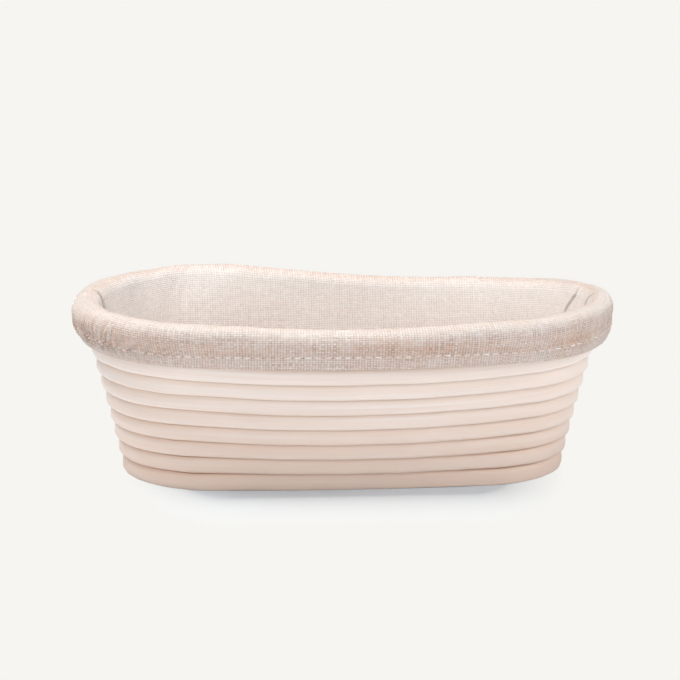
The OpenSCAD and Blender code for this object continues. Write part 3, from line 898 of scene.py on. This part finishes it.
class Liner:
    """The liner's path over the rim, at heights s above it and distances n out from the canes."""

    def __init__(self, shape, cane, liner, sewing):
        self.shape = shape
        self.cane = cane
        self.liner = liner
        self.sewing = sewing
        self.shell = wall_shell(shape)
        half = liner.thickness / 2
        self.inside_n = -cane.thickness - liner.wall_slack - half
        self.fold_n = liner.hem_gap + half
        self.valley_n = self.fold_n + liner.thickness + liner.ply_gap
        self.roll_r = (liner.cuff_out - self.inside_n) / 2
        self.roll_n = (liner.cuff_out + self.inside_n) / 2
        self.roll_s = liner.roll_rise + half - self.roll_r
        self.hem_s = -liner.cuff_drop
        self.hem_r = (liner.cuff_out - self.fold_n) / 2
        self.stitch_s = self.hem_s + liner.hem_height
        self.floor_z = cane.thickness - cane.foot_flat + liner.cloth_gap
        self.up = 1 - np.linspace(1, 0, INSIDE_ROWS) ** ROW_CROWDING
        # Random curves, each from a seed and a rate
        self.gather_drift = wander(11, 6)
        self.gather_swell = wander(12, 37)
        self.gather_lean = wander(13, 17)
        self.folds = wander(14, 12)
        self.waves = wander(15, 14)
        self.ripples = wander(16, 60, 9)
        # Stitches counted along the stitch row
        self.turn = np.linspace(0, 1, LISTED_PLACES)
        out = np.full(LISTED_PLACES, self.valley_n)
        row = self.point(self.stitch_s + self.lift(self.turn), out, self.turn)
        lengths = run_lengths(row[:, None], 0)
        self.stitches = round(lengths[-1] / sewing.pitch)
        self.counted = lengths / lengths[-1] * self.stitches
        self.stitch_step = lengths[-1] / self.stitches

    def rim(self, f):
        """Height of the rim in turns, as the cloth follows it."""
        def cane_rim(g):
            g = g - np.floor(g)
            fall = self.shape.wall_turns - (1 - TIP) * np.clip(g / TAIL, 0, 1)
            back = self.shape.wall_turns - 1 + climb(self.shape, self.cane, g)
            return np.where(g < 0.5, np.maximum(fall, back), self.shape.wall_turns)

        spread = np.linspace(-RIM_EASE, RIM_EASE, RIM_PLACES)
        return np.mean([cane_rim(f + d) for d in spread], axis=0)

    def point(self, s, n, f):
        """Points at heights s and distances n, at shares f of the way round."""
        rim = self.rim(f)
        v = rim + np.minimum(s, 0) / self.shape.pitch
        rise = np.maximum(s, 0) / self.shape.pitch
        rise_way = self.shell.across(rim, f)
        return self.shell.point(v, f) + rise[..., None] * rise_way + n[..., None] * self.shell.outward(v, f)

    def seam_s(self, f):
        """Height at which the band meets the floor panel, from the rim."""
        lean = self.shell.outward(self.floor_z / self.shape.pitch, f)[..., 2]
        return self.floor_z - self.inside_n * lean - self.rim(f) * self.shape.pitch

    def lift(self, f):
        """How far the elastic draws the hem up."""
        return self.liner.side_lift * (1 - at_ends(f))

    def stand_off(self, f):
        """How much further the hem stands out at the +X end than elsewhere."""
        return self.liner.end_stand * at_ends(f) * np.cos(math.pi * f) ** 2

    def path(self, f):
        """Rows across the band: up the inside, over the rim, down the cuff and round the hem casing."""
        liner = self.liner
        seam = self.seam_s(f)[:, None]
        inside = seam + (self.roll_s - seam) * self.up[:-1]
        over = np.linspace(math.pi, 0, ROLL_ROWS)
        cuff = np.linspace(self.roll_s, self.stitch_s, CUFF_ROWS)[1:]
        casing = np.linspace(self.stitch_s, self.hem_s + self.hem_r, CASING_ROWS)[1:]
        under = np.linspace(0, -math.pi, HEM_ROWS)[1:]
        back = np.linspace(self.hem_s + self.hem_r, self.stitch_s - liner.ply_gap, BACK_ROWS)[1:]
        draw = liner.draw_in * (liner.cuff_out - self.valley_n)

        def drawn(s, reach):
            return liner.cuff_out - draw * np.exp(-np.abs(s - self.stitch_s) / reach)

        s = np.concatenate([
            self.roll_s + self.roll_r * np.sin(over), cuff, casing,
            self.hem_s + self.hem_r + self.hem_r * np.sin(under), back])
        n = np.concatenate([
            self.roll_n + self.roll_r * np.cos(over), drawn(cuff, DRAW_ABOVE), drawn(casing, DRAW_BELOW),
            self.fold_n + self.hem_r + self.hem_r * np.cos(under), np.full(len(back), self.fold_n)])
        s = np.tile(s, (len(f), 1))
        drop = smooth((self.roll_s - s) / (self.roll_s - self.stitch_s))
        s = s + drop * self.lift(f)[:, None]
        s = np.concatenate([inside, s], axis=1)
        n = n + drop ** 2 * self.stand_off(f)[:, None]
        n = np.concatenate([np.full(inside.shape, self.inside_n), n], axis=1)
        return s, n

    def gathering(self, f, ways, from_row):
        """Ridges of the gathers, and how strong they are, at heights in mm above the stitch row."""
        lean = np.where(from_row < 0, LEAN_BELOW, LEAN_ABOVE) * from_row
        lean = lean + LEAN_VARIES * self.gather_lean(f) * from_row
        at = ways[:, None] / self.liner.gather_pitch + GATHER_STRAY * self.gather_drift(f) + lean
        ridge = (0.5 + 0.5 * np.cos(2 * math.pi * at)) ** RIDGE_SHARPNESS
        reach = np.where(from_row > 0, bell(from_row, GATHERS_UP), bell(from_row, GATHERS_DOWN, 4))
        swell = np.clip(0.75 + 0.3 * self.gather_swell(f), 0.2, 1.2)
        fuller_at_seam = 0.65 - 0.35 * np.cos(2 * math.pi * f)
        return ridge, reach * swell * fuller_at_seam

    def relief(self, s, f, ways):
        """How far the cloth stands off its plain path, and its painted light and shade: lighter over the
        fold, inside and on the hem, darker in the creases and between the gathers.
        """
        liner = self.liner
        f = f[:, None]
        girth = ways[-1] / MM
        row = np.arange(s.shape[1])[None]
        rise = self.up[np.minimum(row, ROLL_START)]
        on_roll = np.clip((row - ROLL_START) / ROLL_ROWS, 0, 1)
        outside = (row >= ROLL_START + OUTER_ROLL * ROLL_ROWS) & (row < HEM_START)
        ends = at_ends(f)
        from_row = (s - self.stitch_s - self.lift(f)) / MM

        # Gathers, waves, ripples and soft folds
        ridge, strength = self.gathering(f, ways, from_row)
        gathers = liner.gather_depth * ridge * strength * at_least(0.1, ends ** 2)
        waves = WAVE_HEIGHT * self.waves(f) * at_least(0.4, ends) * np.sin(math.pi * on_roll)
        ripples = RIPPLE_HEIGHT * self.ripples(f + 0.01 * rise)
        fold = self.folds(f + 0.006 * rise)
        fold = (fold + np.sqrt(fold ** 2 + 0.15)) / 2 * liner.fold_depth
        inner = fold * smooth(rise / 0.35) * (1 - smooth((on_roll - 0.1) / 0.35)) * at_least(0.15, ends)

        # Creases, the side seam and the needle's dents
        crease_line_shade = 0
        for crease in FOLDS:
            off = crease.way * ((f - crease.at + 0.5) % 1 - 0.5) * girth
            off = off + crease.slant * (1 - rise)
            off = off + crease.turn * (np.maximum(on_roll, SLANT_FROM) - SLANT_FROM)
            along = smooth((rise - crease.start) / CREASE_EASE)
            along = along * (1 - smooth((on_roll - crease.end) / crease.fade))
            puff = crease.height * np.where(off > 0, bell(off, crease.steep), bell(off, crease.soft))
            groove = crease.groove * bell(off - crease.line_at, GROOVE_WIDTH)
            inner = inner + liner.lip_depth * (puff - groove) * along
            # Painted shade: a dark line along the crease's groove
            crease_line_shade = crease_line_shade + crease.shade * bell(off - crease.line_at, LINE_WIDTH) * along
        seam = -liner.seam_depth * bell((f - SEAM_AT) * ways[-1], SEAM_WIDTH) * (row < HEM_START)
        count = np.interp(f % 1, self.turn, self.counted)
        off = (count - np.round(count)) * self.stitch_step / MM
        dents = bell(off, DENT_WIDTH) * bell(from_row, DENT_WIDTH) * outside
        stand = np.where(outside, gathers, 0) + waves + ripples + inner + seam - DENT_DEPTH * dents

        # Painted light on the crest, inside and on the hem, and painted shade in the creases and between the
        # gathers
        # Painted shade between the gathers
        valley_shade = np.where(outside, (1 - ridge) * strength * ends ** 2, 0)
        crest_highlight = CREST_LIGHT * np.sin(math.pi * on_roll) ** 2 * (row < CUFF_START)
        inside = at_least(FLOOR_LIGHT, rise) * (1 - smooth(on_roll / 0.5))
        hem = HEM_LIGHT * smooth(-from_row / 1.5) * outside
        return stand, np.maximum(np.maximum(crest_highlight, inside), hem), crease_line_shade + valley_shade

    def band(self, f):
        """Rings of points across the band, lengths along and across it, shifts along it, and its painted
        light and shade.
        """
        s, n = self.path(f)
        edge = self.shell.point(self.shape.wall_turns, np.append(f, f[0] + 1))
        ways = run_lengths(edge[:, None], 0)
        ds = np.gradient(s, axis=1)
        dn = np.gradient(n, axis=1)
        stretch = np.hypot(ds, dn)
        side_s = dn / stretch
        side_n = -ds / stretch
        stand, *tones = self.relief(s, f, ways[:-1])
        half = self.liner.thickness / 2
        across = np.concatenate([[0], np.cumsum(stretch.mean(axis=0))])[:-1]

        def face(offset):
            return self.point(s + side_s * (stand + offset), n + side_n * (stand + offset), f[:, None])

        rings = np.concatenate([face(half), face(-half)[:, ::-1]], axis=1)
        run = self.shell.along(self.shape.wall_turns, f)
        shift = np.sum((rings - edge[:-1, None]) * run[:, None], axis=-1)
        # Painted light and painted shade, on both faces of the band
        painted_light, crease = (np.concatenate([tone, tone[:, ::-1]], axis=1) for tone in tones)
        return rings, ways, across, shift, {"painted_light": painted_light, "crease": crease}

    def stitch_row(self, f, lift):
        """Points over the stitch row, at shares f and heights off the cloth, and the way out there."""
        s, n = self.path(f)
        edge = self.shell.point(self.shape.wall_turns, self.turn)
        ways = np.interp(f, self.turn, run_lengths(edge[:, None], 0))
        stand = self.relief(s, f, ways)[0][:, STITCH_ROW]
        out = n[:, STITCH_ROW] + stand + self.liner.thickness / 2 + lift
        outward = self.shell.outward(self.rim(f) + self.stitch_s / self.shape.pitch, f)
        return self.point(s[:, STITCH_ROW], out, f), outward

    def floor_edge(self, f):
        """Edge of the floor panel, just inside the band."""
        inset = self.inside_n - self.liner.thickness / 2 - self.liner.ply_gap
        return self.point(self.seam_s(f), np.full(f.shape, inset), f)[..., :2]


def even_places(length, spacing):
    """Places along a length that lie an even distance apart."""
    many = max(1, round(length / spacing))
    return (np.arange(many) + 0.5) * length / many


# Operators

class BuildOperator(bpy.types.Operator):
    """Base of the operators that build pieces of the basket."""

    bl_options = {"REGISTER", "UNDO"}

    def plan(self, context):
        """The liner's path, for the sizes in the scene."""
        scene = context.scene
        return Liner(scene.basket_shape, scene.basket_cane, scene.basket_liner, scene.basket_stitches)

    def finish(self, context, name):
        """The finish of that name, made the first time that it is asked for."""
        make, settings = FINISHES[name]
        return bpy.data.materials.get(name) or make(getattr(context.scene, settings))


def add_cane(name, node, coil, start, end, material, first=None, last=None):
    """One length of cane along its winding, from start to end in turns."""
    q = np.linspace(start, end, round((end - start) * TURN_STATIONS))
    rings = coil.rings(q, first, last)
    place = cane_section(coil.cane.squareness)[0]
    # Painted shade under each cane's lip, strongest at the ends, and darker edges in the crease, partly the
    # cane's own
    painted_lip_shade = LIP_SHADE * smooth((place - 0.1) / 0.9) * at_least(0.3, at_ends(q)[:, None])
    edge = np.maximum(smooth((np.abs(place) - 0.8) / 0.2), painted_lip_shade)
    # Painted shade towards the foot: darker and browner near the floor
    low = smooth((FOOT_SHADE_HEIGHT - rings[..., 2]) / FOOT_SHADE_HEIGHT)
    piece = swept(name, rings, material, points_data={"edge": edge, "low": low})
    dress(piece, "basket", "cane", node)


class BASKET_OT_wall_canes(BuildOperator):
    """Winds the three lengths of cane that make the wall"""

    bl_idname = "basket.wall_canes"
    bl_label = "Wall canes"

    def execute(self, context):
        shape = context.scene.basket_shape
        cane = context.scene.basket_cane
        shell = wall_shell(shape)
        coil = Coil(shape, cane, shell, shape.wall_turns, shape.pitch, WALL_DIP, TAIL, WALL_SEED)
        low, high = SPLICES
        end = shape.wall_turns + TAIL
        finish = self.finish(context, "Cane")
        add_cane("Lower_wall_cane", "lower_wall_cane", coil, WIND_START, low + SCARF, finish, last=low)
        add_cane("Middle_wall_cane", "middle_wall_cane", coil, low - SCARF, high + SCARF, finish, low, high)
        add_cane("Upper_wall_cane", "upper_wall_cane", coil, high - SCARF, end, finish, first=high)
        return {"FINISHED"}


class BASKET_OT_base_canes(BuildOperator):
    """Winds the base round its core"""

    bl_idname = "basket.base_canes"
    bl_label = "Base canes"

    def execute(self, context):
        shape = context.scene.basket_shape
        cane = context.scene.basket_cane
        shell = base_shell(shape, cane)
        pitch = base_pitch(shape, cane)
        gap = cane.crease / pitch
        coil = Coil(shape, cane, shell, shape.base_turns, pitch, gap / 2, 0, BASE_SEED)
        finish = self.finish(context, "Cane")
        add_cane("Base_cane", "base_cane", coil, WIND_START, shape.base_turns + BASE_END, finish)
        place, depth = cane_section(cane.squareness)
        edge = shell.point(-gap / 2, np.linspace(*CORE_ENDS, CORE_STATIONS))
        height = np.maximum(cane.thickness / 2 * (1 + depth) - cane.foot_flat, 0)
        rings = np.stack(np.broadcast_arrays(edge[:, :1], place * edge[:, 1:2], height), axis=-1)
        # The core takes the full painted shade of the foot
        data = {"edge": np.zeros(rings.shape[:2]), "low": np.ones(rings.shape[:2])}
        core = swept("Base_core", rings, finish, points_data=data)
        dress(core, "basket", "cane", "base_core")
        return {"FINISHED"}


class BASKET_OT_pegs(BuildOperator):
    """Gives the wooden pegs inside the canes their finish"""

    bl_idname = "basket.pegs"
    bl_label = "Pegs"

    def execute(self, context):
        wood = self.finish(context, "Peg_wood")
        for node in ("base_pegs", "wall_pegs"):
            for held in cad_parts[node].material_slots:
                held.material = wood
        return {"FINISHED"}


class BASKET_OT_liner_side(BuildOperator):
    """Sews the linen band that lines the wall and folds over the rim"""

    bl_idname = "basket.liner_side"
    bl_label = "Liner side"

    def execute(self, context):
        f = np.arange(BAND_COLUMNS) / BAND_COLUMNS
        rings, ways, across, shift, data = self.plan(context).band(f)
        around = np.concatenate([across, across[::-1], across[:1]])
        linen = self.finish(context, "Linen")
        band = swept("Liner_side", rings, linen, True, data, around, ways, shift)
        dress(band, "liner", "linen", "liner_side")
        return {"FINISHED"}


class BASKET_OT_liner_floor(BuildOperator):
    """Lays the linen panel on the bottom"""

    bl_idname = "basket.liner_floor"
    bl_label = "Liner floor"

    def execute(self, context):
        plan = self.plan(context)
        edge = plan.floor_edge(np.arange(FLOOR_COLUMNS) / FLOOR_COLUMNS)
        share = np.linspace(FLOOR_HUB, 1, FLOOR_RINGS)[:, None, None]
        flat = share * edge
        x, y = flat[..., 0], flat[..., 1]
        swell = np.sin(x * 95 + 2.1 * np.sin(y * 60)) * np.sin(y * 120 + 1.3 * np.sin(x * 40))
        soft = smooth((1 - share[..., 0]) / FLOOR_EDGE)
        top_z = plan.floor_z + plan.liner.thickness * at_least(0.75, soft)
        top_z = top_z + FLOOR_SWELL * (1 + swell) * soft / 2
        top = np.concatenate([flat, top_z[..., None]], axis=-1)
        under = np.concatenate([flat, np.full(flat.shape[:2] + (1,), plan.floor_z)], axis=-1)
        rings = np.concatenate([top, under[::-1]])
        n, m = rings.shape[:2]
        i, j = grid_quads(n, m, False, True)
        quads = i * m + j % m
        uv = rings[i, j % m][..., :2]
        caps = [np.arange(m), (n - 1) * m + np.arange(m)[::-1]]
        # Painted light on the floor panel
        data = {"painted_light": np.full((n, m), FLOOR_LIGHT)}
        panel = add_piece("Liner_floor", rings, quads, caps, uv, self.finish(context, "Linen"), data)
        dress(panel, "liner", "linen", "liner_floor")
        x, y = edge.T
        return {"FINISHED"}


class BASKET_OT_hem_elastic(BuildOperator):
    """Threads the elastic through the hem casing"""

    bl_idname = "basket.hem_elastic"
    bl_label = "Hem elastic"

    def execute(self, context):
        plan = self.plan(context)
        liner = plan.liner
        f = np.arange(ELASTIC_COLUMNS) / ELASTIC_COLUMNS
        place, depth = cane_section(ELASTIC_SQUARENESS)
        s = plan.hem_s + plan.hem_r + liner.elastic_width * (0.5 + place / 2)
        n = plan.fold_n + plan.hem_r + liner.elastic_thickness * depth / 2
        n = n + plan.stand_off(f)[:, None]
        s, n, share = np.broadcast_arrays(s + plan.lift(f)[:, None], n, f[:, None])
        finish = self.finish(context, "Elastic")
        elastic = swept("Hem_elastic", plan.point(s, n, share), finish, True)
        dress(elastic, "liner", "elastic", "hem_elastic")
        return {"FINISHED"}


class BASKET_OT_stitches(BuildOperator):
    """Sews the stitch rows of the hem, the floor seam and the side seam"""

    bl_idname = "basket.stitches"
    bl_label = "Stitches"

    def execute(self, context):
        plan = self.plan(context)
        sewing = plan.sewing
        radius = sewing.thread / 2
        along = np.linspace(-1, 1, STITCH_PLACES)
        arch = np.sqrt(1 - STITCH_BEND * np.abs(along) ** 3)
        spread = along * sewing.length / 2
        rows = (
            ("Hem_stitches", "hem_thread", self.hem_row, HEM_ARCH * arch - STITCH_SUNK),
            ("Floor_seam_stitches", "floor_seam_thread", self.floor_seam, arch),
            ("Side_seam_stitches", "side_seam_thread", self.side_seam, arch - STITCH_SUNK),
        )
        for name, node, place, rise in rows:
            points, ups = place(plan, spread, radius * rise)
            row = threads(name, points, ups, radius, self.finish(context, "Thread"))
            dress(row, "liner", "thread", node)
        return {"FINISHED"}

    def hem_row(self, plan, spread, lift):
        """Stitches round the hem, and the ways out there."""
        count = np.arange(plan.stitches)[:, None] + 0.5 + spread / plan.stitch_step
        f = np.interp(count, plan.counted, plan.turn)
        points, ups = plan.stitch_row(f.ravel(), np.tile(lift, plan.stitches))
        return points.reshape(f.shape + (3,)), ups.reshape(f.shape + (3,))

    def floor_seam(self, plan, spread, lift):
        """Stitches over the joint of the floor panel and the band, and the ways up there."""
        lengths = run_lengths(plan.floor_edge(plan.turn)[:, None], 0)
        f = np.interp(even_places(lengths[-1], plan.sewing.pitch), lengths, plan.turn)
        step = NUDGE / 4
        way = unit(plan.floor_edge(f + step) - plan.floor_edge(f - step))
        out = np.stack([way[:, 1], -way[:, 0]], axis=-1)
        flat = plan.floor_edge(f)[:, None] + out[:, None] * spread[:, None]
        z = plan.floor_z + plan.liner.thickness * FLOOR_SEAM_HEIGHT + lift
        z = z + np.maximum(spread, 0) * FLOOR_SEAM_CLIMB
        points = np.concatenate([flat, np.broadcast_to(z[:, None], flat.shape[:2] + (1,))], axis=-1)
        return points, np.broadcast_to(np.array([0.0, 0.0, 1.0]), points.shape)

    def side_seam(self, plan, spread, lift):
        """Stitches across the joint of the band's two ends, and the ways out there."""
        s, n = (rows[0, :STITCH_ROW + 1] for rows in plan.path(np.array([SEAM_AT])))
        length = np.concatenate([[0], np.cumsum(np.hypot(np.diff(s), np.diff(n)))])
        at = even_places(length[-1], plan.sewing.pitch)
        s_way = np.interp(at, length, np.gradient(n, length))
        n_way = np.interp(at, length, -np.gradient(s, length))
        rise = plan.liner.thickness / 2 - SIDE_SEAM_DEPTH * plan.liner.seam_depth
        s_at = np.interp(at, length, s) + rise * s_way
        n_at = np.interp(at, length, n) + rise * n_way
        f = np.full(len(at), SEAM_AT)
        middle = plan.point(s_at, n_at, f)
        up = unit(plan.point(s_at + s_way * MM, n_at + n_way * MM, f) - middle)
        points = middle[:, None] + np.stack([0 * spread, spread, 0 * spread], axis=-1)
        points = points + up[:, None] * lift[:, None]
        return points, np.broadcast_to(up[:, None], points.shape)


class BASKET_OT_stage(BuildOperator):
    """Sets the floor, the light and the camera"""

    bl_idname = "basket.stage"
    bl_label = "Stage"

    def execute(self, context):
        stage = context.scene.basket_stage
        self.camera(context, stage)
        self.floor(context, stage)
        self.light(context, stage)
        context.scene.view_settings.view_transform = "Standard"
        return {"FINISHED"}

    def camera(self, context, stage):
        camera = bpy.data.cameras.new("Camera")
        camera.lens = stage.lens
        camera.sensor_width = SENSOR_MM
        camera.clip_end = 20
        turn = Matrix.Rotation(-stage.azimuth, 4, "Z")
        back = stage.distance * math.cos(stage.elevation)
        up = stage.distance * math.sin(stage.elevation)
        place = Matrix.Translation((stage.sideways, -back, up))
        look = Matrix.Rotation(math.pi / 2 - stage.tilt, 4, "X") @ Matrix.Rotation(stage.roll, 4, "Z")
        holder = bpy.data.objects.new("Camera", camera)
        holder.matrix_world = turn @ place @ look
        context.scene.collection.objects.link(holder)
        context.scene.camera = holder

    def floor(self, context, stage):
        corners = [(-1, -1), (1, -1), (1, 1), (-1, 1)]
        mesh = bpy.data.meshes.new("Floor")
        mesh.from_pydata([(FLOOR_HALF * x, FLOOR_HALF * y, 0) for x, y in corners], [], [(0, 1, 2, 3)])
        look = Finish("Floor", Roughness=0.95, Specular_IOR_Level=0.0, Base_Color=stage.floor_tone)
        glow = look.node("ShaderNodeEmission", 0, {"Color": stage.backdrop})
        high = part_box("lower_wall_cane")[1]
        x, y = look.parts(look.node("ShaderNodeNewGeometry", "Position", {}))[:2]
        past = look.math("SUBTRACT", look.math("ABSOLUTE", x), high[0] - high[1])
        past = look.times(look.math("MAXIMUM", past, 0.0), stage.side_fade)
        far = look.math("SQRT", look.math("ADD", look.times(past, past), look.times(y, y)))
        far = look.math("SUBTRACT", far, float(high[1]))
        fade = look.math("POWER", look.span(far, stage.shadow_start, stage.shadow_end), SHADOW_CURVE)
        seen = look.times(fade, look.camera_ray())
        look.seen_apart(seen, look.shader.outputs[0], glow, "Material Output")
        mesh.materials.append(look.material)
        floor = bpy.data.objects.new("Floor", mesh)
        context.scene.collection.objects.link(floor)

    def light(self, context, stage):
        world = bpy.data.worlds.new("Studio")
        world.use_nodes = True
        look = Nodes(world.node_tree)
        soft = look.tree.nodes["Background"]
        look.put(soft.inputs["Color"], (1, 1, 1))
        look.put(soft.inputs["Strength"], stage.world_light)
        seen = look.node("ShaderNodeBackground", 0, {"Color": stage.backdrop})
        look.seen_apart(look.camera_ray(), soft.outputs[0], seen, "World Output")
        context.scene.world = world
        self.lamp(context, "Top_light", stage.top_light, WARM, 0.9, (-0.32, 0.05, 1.1))
        self.lamp(context, "Side_light", stage.side_light, COOL, 0.8, (1.0, -0.35, 0.42))
        self.lamp(context, "Front_light", stage.front_light, WARM, 1.0, (-0.1, -1.3, 0.7))

    def lamp(self, context, name, power, tint, width, place):
        lamp = bpy.data.lights.new(name, "AREA")
        lamp.shape = "DISK"
        lamp.size = width
        lamp.energy = power
        lamp.color = tint
        back = unit(np.array(place) - np.array(LAMP_AIM))
        side = unit(np.cross((0.01, 1, 0), back))
        aim = Matrix((side, np.cross(back, side), back)).transposed().to_4x4()
        holder = bpy.data.objects.new(name, lamp)
        holder.matrix_world = Matrix.Translation(place) @ aim
        context.scene.collection.objects.link(holder)


class BASKET_PT_panel(bpy.types.Panel):
    """Lists the operators and sizes of the basket"""

    bl_idname = "BASKET_PT_panel"
    bl_label = "Proofing Basket"
    bl_space_type = "VIEW_3D"
    bl_region_type = "UI"
    bl_category = "Basket"

    def draw(self, context):
        for operator in OPERATORS:
            self.layout.operator(operator.bl_idname)
        for name, group in GROUPS.items():
            box = self.layout.box()
            for key in group.__annotations__:
                box.prop(getattr(context.scene, name), key)


GROUPS = {
    "basket_shape": BasketShape,
    "basket_cane": CaneLook,
    "basket_liner": LinerShape,
    "basket_stitches": StitchShape,
    "basket_linen": LinenLook,
    "basket_stage": StageLook,
}
OPERATORS = (
    BASKET_OT_stage,
    BASKET_OT_wall_canes,
    BASKET_OT_base_canes,
    BASKET_OT_pegs,
    BASKET_OT_liner_side,
    BASKET_OT_liner_floor,
    BASKET_OT_hem_elastic,
    BASKET_OT_stitches,
)


def register():
    for name, group in GROUPS.items():
        bpy.utils.register_class(group)
        setattr(bpy.types.Scene, name, PointerProperty(type=group))
    for operator in OPERATORS:
        bpy.utils.register_class(operator)
    bpy.utils.register_class(BASKET_PT_panel)


def unregister():
    bpy.utils.unregister_class(BASKET_PT_panel)
    for operator in reversed(OPERATORS):
        bpy.utils.unregister_class(operator)
    for name, group in reversed(GROUPS.items()):
        delattr(bpy.types.Scene, name)
        bpy.utils.unregister_class(group)


def main():
    register()
    for operator in OPERATORS:
        group, name = operator.bl_idname.split(".")
        getattr(getattr(bpy.ops, group), name)()


if __name__ == "__main__":
    main()
